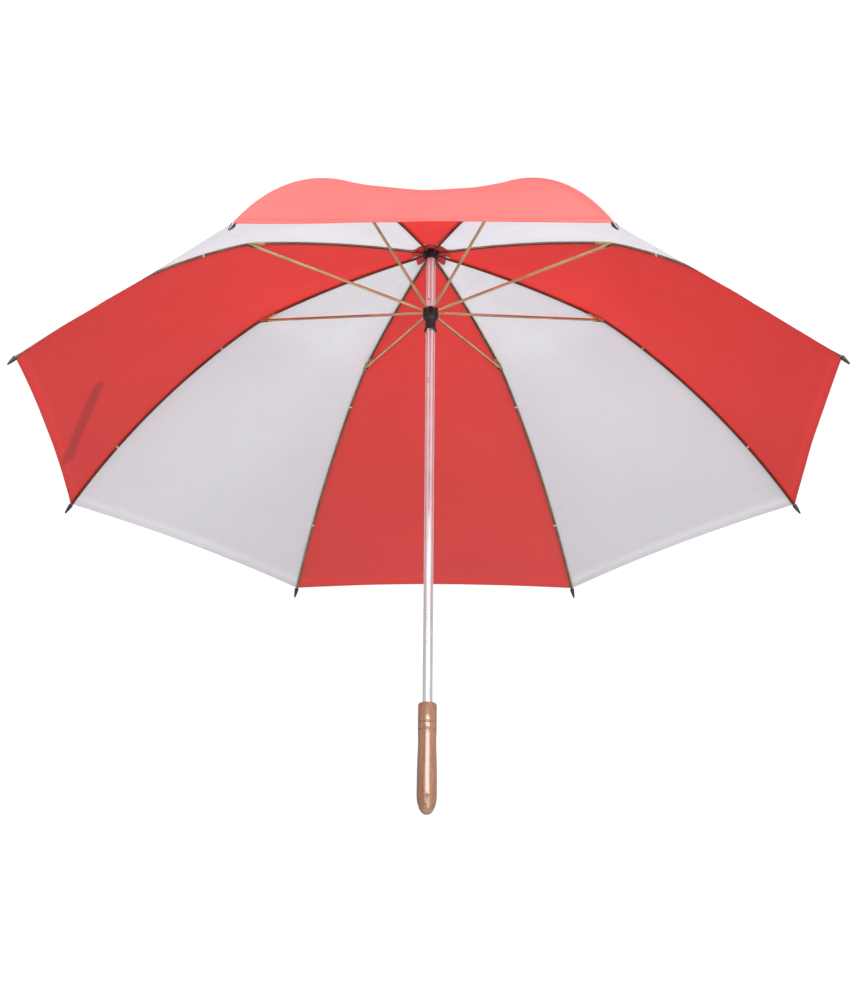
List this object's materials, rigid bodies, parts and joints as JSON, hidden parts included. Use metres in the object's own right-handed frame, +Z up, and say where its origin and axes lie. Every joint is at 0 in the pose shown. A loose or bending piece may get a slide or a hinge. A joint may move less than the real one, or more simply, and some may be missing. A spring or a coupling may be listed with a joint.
{
  "type": "golf umbrella",
  "caption": "Open golf umbrella with a two-colour panelled canopy on folding steel ribs, a sliding runner on a straight shaft and a turned wooden handle.",
  "frame": {"origin": "middle of the handle's lower end, on the axis of the shaft", "axes": "+Z up along the shaft to the ferrule; rib 1 lies 22.5 degrees from +X towards +Y, and +X points through the middle of a red panel"},
  "size_m": [1.1836, 1.1836, 0.988],
  "materials": {
    "shaft_steel": "bright plated steel tube",
    "hub_plastic": "black moulded plastic",
    "dark_steel": "blackened spring steel and wire",
    "rib_steel": "bronze lacquered steel channel",
    "stretcher_steel": "brass plated steel channel",
    "cup_plastic": "black moulded tip cup",
    "handle_wood": "varnished light wood",
    "red_fabric": "woven red nylon",
    "white_fabric": "woven white nylon"
  },
  "bodies": {
    "root": {"shaft": "shaft_steel", "handle": "handle_wood", "handle_pin": "dark_steel", "stop_pin": "dark_steel", "notch": "hub_plastic", "notch_wire": "dark_steel", "inner_rosette": "red_fabric", "crown_cap": "hub_plastic", "top_ferrule": "hub_plastic"},
    "inner_rib_1": {"rib_inner_1": "rib_steel"},
    "outer_rib_1": {"rib_outer_1": "rib_steel", "tip_cup_1": "cup_plastic", "canopy_panel_1": "white_fabric"},
    "stretcher_1": {"stretcher_1": "stretcher_steel"},
    "inner_rib_2": {"rib_inner_2": "rib_steel"},
    "outer_rib_2": {"rib_outer_2": "rib_steel", "tip_cup_2": "cup_plastic", "canopy_panel_2": "red_fabric"},
    "stretcher_2": {"stretcher_2": "stretcher_steel"},
    "inner_rib_3": {"rib_inner_3": "rib_steel"},
    "outer_rib_3": {"rib_outer_3": "rib_steel", "tip_cup_3": "cup_plastic", "canopy_panel_3": "white_fabric"},
    "stretcher_3": {"stretcher_3": "stretcher_steel"},
    "inner_rib_4": {"rib_inner_4": "rib_steel"},
    "outer_rib_4": {"rib_outer_4": "rib_steel", "tip_cup_4": "cup_plastic", "canopy_panel_4": "red_fabric", "closing_strap": "red_fabric"},
    "stretcher_4": {"stretcher_4": "stretcher_steel"},
    "inner_rib_5": {"rib_inner_5": "rib_steel"},
    "outer_rib_5": {"rib_outer_5": "rib_steel", "tip_cup_5": "cup_plastic", "canopy_panel_5": "white_fabric"},
    "stretcher_5": {"stretcher_5": "stretcher_steel"},
    "inner_rib_6": {"rib_inner_6": "rib_steel"},
    "outer_rib_6": {"rib_outer_6": "rib_steel", "tip_cup_6": "cup_plastic", "canopy_panel_6": "red_fabric"},
    "stretcher_6": {"stretcher_6": "stretcher_steel"},
    "inner_rib_7": {"rib_inner_7": "rib_steel"},
    "outer_rib_7": {"rib_outer_7": "rib_steel", "tip_cup_7": "cup_plastic", "canopy_panel_7": "white_fabric"},
    "stretcher_7": {"stretcher_7": "stretcher_steel"},
    "inner_rib_8": {"rib_inner_8": "rib_steel"},
    "outer_rib_8": {"rib_outer_8": "rib_steel", "tip_cup_8": "cup_plastic", "canopy_panel_8": "red_fabric"},
    "stretcher_8": {"stretcher_8": "stretcher_steel"},
    "runner": {"runner": "hub_plastic", "runner_wire": "dark_steel"},
    "top_spring": {"top_spring": "dark_steel"},
    "hand_spring": {"hand_spring": "dark_steel"}
  },
  "joints": [
    {"name": "canopy_fold", "type": "hinge", "parent": "root", "child": "inner_rib_1", "pos_m": [0.00924, 0.00383, 0.913], "axis": [-0.3827, 0.9239, 0], "range_deg": [0, 77], "deforming": ["canopy_panel_1", "canopy_panel_2", "canopy_panel_3", "canopy_panel_4", "canopy_panel_5", "canopy_panel_6", "canopy_panel_7", "canopy_panel_8", "closing_strap", "top_spring", "hand_spring"]},
    {"name": "rib_2_fold", "type": "hinge", "parent": "root", "child": "inner_rib_2", "pos_m": [0.00383, 0.00924, 0.913], "axis": [-0.9239, 0.3827, 0], "range_deg": [-0.01, 77.01]},
    {"name": "rib_3_fold", "type": "hinge", "parent": "root", "child": "inner_rib_3", "pos_m": [-0.00383, 0.00924, 0.913], "axis": [-0.9239, -0.3827, 0], "range_deg": [-0.01, 77.01]},
    {"name": "rib_4_fold", "type": "hinge", "parent": "root", "child": "inner_rib_4", "pos_m": [-0.00924, 0.00383, 0.913], "axis": [-0.3827, -0.9239, 0], "range_deg": [-0.01, 77.01]},
    {"name": "rib_5_fold", "type": "hinge", "parent": "root", "child": "inner_rib_5", "pos_m": [-0.00924, -0.00383, 0.913], "axis": [0.3827, -0.9239, 0], "range_deg": [-0.01, 77.01]},
    {"name": "rib_6_fold", "type": "hinge", "parent": "root", "child": "inner_rib_6", "pos_m": [-0.00383, -0.00924, 0.913], "axis": [0.9239, -0.3827, 0], "range_deg": [-0.01, 77.01]},
    {"name": "rib_7_fold", "type": "hinge", "parent": "root", "child": "inner_rib_7", "pos_m": [0.00383, -0.00924, 0.913], "axis": [0.9239, 0.3827, 0], "range_deg": [-0.01, 77.01]},
    {"name": "rib_8_fold", "type": "hinge", "parent": "root", "child": "inner_rib_8", "pos_m": [0.00924, -0.00383, 0.913], "axis": [0.3827, 0.9239, 0], "range_deg": [-0.01, 77.01]},
    {"name": "rib_1_flex", "type": "hinge", "parent": "inner_rib_1", "child": "outer_rib_1", "pos_m": [0.27538, 0.11407, 0.86117], "axis": [0.3827, -0.9239, 0], "range_deg": [-0.01, 26.62]},
    {"name": "rib_2_flex", "type": "hinge", "parent": "inner_rib_2", "child": "outer_rib_2", "pos_m": [0.11407, 0.27538, 0.86117], "axis": [0.9239, -0.3827, 0], "range_deg": [-0.01, 26.62]},
    {"name": "rib_3_flex", "type": "hinge", "parent": "inner_rib_3", "child": "outer_rib_3", "pos_m": [-0.11407, 0.27538, 0.86117], "axis": [0.9239, 0.3827, 0], "range_deg": [-0.01, 26.62]},
    {"name": "rib_4_flex", "type": "hinge", "parent": "inner_rib_4", "child": "outer_rib_4", "pos_m": [-0.27538, 0.11407, 0.86117], "axis": [0.3827, 0.9239, 0], "range_deg": [-0.01, 26.62]},
    {"name": "rib_5_flex", "type": "hinge", "parent": "inner_rib_5", "child": "outer_rib_5", "pos_m": [-0.27538, -0.11407, 0.86117], "axis": [-0.3827, 0.9239, 0], "range_deg": [-0.01, 26.62]},
    {"name": "rib_6_flex", "type": "hinge", "parent": "inner_rib_6", "child": "outer_rib_6", "pos_m": [-0.11407, -0.27538, 0.86117], "axis": [-0.9239, 0.3827, 0], "range_deg": [-0.01, 26.62]},
    {"name": "rib_7_flex", "type": "hinge", "parent": "inner_rib_7", "child": "outer_rib_7", "pos_m": [0.11407, -0.27538, 0.86117], "axis": [-0.9239, -0.3827, 0], "range_deg": [-0.01, 26.62]},
    {"name": "rib_8_flex", "type": "hinge", "parent": "inner_rib_8", "child": "outer_rib_8", "pos_m": [0.27538, -0.11407, 0.86117], "axis": [-0.3827, -0.9239, 0], "range_deg": [-0.01, 26.62]},
    {"name": "stretcher_1_pivot", "type": "hinge", "parent": "inner_rib_1", "child": "stretcher_1", "pos_m": [0.27538, 0.11407, 0.86117], "axis": [0.3827, -0.9239, 0], "range_deg": [-0.01, 154.02]},
    {"name": "stretcher_2_pivot", "type": "hinge", "parent": "inner_rib_2", "child": "stretcher_2", "pos_m": [0.11407, 0.27538, 0.86117], "axis": [0.9239, -0.3827, 0], "range_deg": [-0.01, 154.02]},
    {"name": "stretcher_3_pivot", "type": "hinge", "parent": "inner_rib_3", "child": "stretcher_3", "pos_m": [-0.11407, 0.27538, 0.86117], "axis": [0.9239, 0.3827, 0], "range_deg": [-0.01, 154.02]},
    {"name": "stretcher_4_pivot", "type": "hinge", "parent": "inner_rib_4", "child": "stretcher_4", "pos_m": [-0.27538, 0.11407, 0.86117], "axis": [0.3827, 0.9239, 0], "range_deg": [-0.01, 154.02]},
    {"name": "stretcher_5_pivot", "type": "hinge", "parent": "inner_rib_5", "child": "stretcher_5", "pos_m": [-0.27538, -0.11407, 0.86117], "axis": [-0.3827, 0.9239, 0], "range_deg": [-0.01, 154.02]},
    {"name": "stretcher_6_pivot", "type": "hinge", "parent": "inner_rib_6", "child": "stretcher_6", "pos_m": [-0.11407, -0.27538, 0.86117], "axis": [-0.9239, 0.3827, 0], "range_deg": [-0.01, 154.02]},
    {"name": "stretcher_7_pivot", "type": "hinge", "parent": "inner_rib_7", "child": "stretcher_7", "pos_m": [0.11407, -0.27538, 0.86117], "axis": [-0.9239, -0.3827, 0], "range_deg": [-0.01, 154.02]},
    {"name": "stretcher_8_pivot", "type": "hinge", "parent": "inner_rib_8", "child": "stretcher_8", "pos_m": [0.27538, -0.11407, 0.86117], "axis": [-0.3827, -0.9239, 0], "range_deg": [-0.01, 154.02]},
    {"name": "runner_pivot", "type": "hinge", "parent": "stretcher_1", "child": "runner", "pos_m": [0.00924, 0.00383, 0.80934], "axis": [-0.3827, 0.9239, 0], "range_deg": [-0.01, 77.01]},
    {"name": "top_spring_press", "type": "hinge", "parent": "root", "child": "top_spring", "pos_m": [-0.00215, -0.00592, 0.68824], "axis": [-0.9397, 0.342, 0], "range_deg": [0, 2.2], "stiffness_Nm_per_rad": 0.5, "springref_deg": -1.15},
    {"name": "hand_spring_press", "type": "hinge", "parent": "root", "child": "hand_spring", "pos_m": [0.00215, 0.00592, 0.3807], "axis": [-0.9397, 0.342, 0], "range_deg": [0, 2.2], "stiffness_Nm_per_rad": 0.5, "springref_deg": -1.15}
  ],
  "couplings": [
    {"joint": "rib_2_fold", "follows": "canopy_fold", "ratio": 1},
    {"joint": "rib_3_fold", "follows": "canopy_fold", "ratio": 1},
    {"joint": "rib_4_fold", "follows": "canopy_fold", "ratio": 1},
    {"joint": "rib_5_fold", "follows": "canopy_fold", "ratio": 1},
    {"joint": "rib_6_fold", "follows": "canopy_fold", "ratio": 1},
    {"joint": "rib_7_fold", "follows": "canopy_fold", "ratio": 1},
    {"joint": "rib_8_fold", "follows": "canopy_fold", "ratio": 1},
    {"joint": "rib_1_flex", "follows": "canopy_fold", "ratio": 0.34546},
    {"joint": "rib_2_flex", "follows": "canopy_fold", "ratio": 0.34546},
    {"joint": "rib_3_flex", "follows": "canopy_fold", "ratio": 0.34546},
    {"joint": "rib_4_flex", "follows": "canopy_fold", "ratio": 0.34546},
    {"joint": "rib_5_flex", "follows": "canopy_fold", "ratio": 0.34546},
    {"joint": "rib_6_flex", "follows": "canopy_fold", "ratio": 0.34546},
    {"joint": "rib_7_flex", "follows": "canopy_fold", "ratio": 0.34546},
    {"joint": "rib_8_flex", "follows": "canopy_fold", "ratio": 0.34546},
    {"joint": "stretcher_1_pivot", "follows": "canopy_fold", "ratio": 2},
    {"joint": "stretcher_2_pivot", "follows": "canopy_fold", "ratio": 2},
    {"joint": "stretcher_3_pivot", "follows": "canopy_fold", "ratio": 2},
    {"joint": "stretcher_4_pivot", "follows": "canopy_fold", "ratio": 2},
    {"joint": "stretcher_5_pivot", "follows": "canopy_fold", "ratio": 2},
    {"joint": "stretcher_6_pivot", "follows": "canopy_fold", "ratio": 2},
    {"joint": "stretcher_7_pivot", "follows": "canopy_fold", "ratio": 2},
    {"joint": "stretcher_8_pivot", "follows": "canopy_fold", "ratio": 2},
    {"joint": "runner_pivot", "follows": "canopy_fold", "ratio": 1}
  ]
}
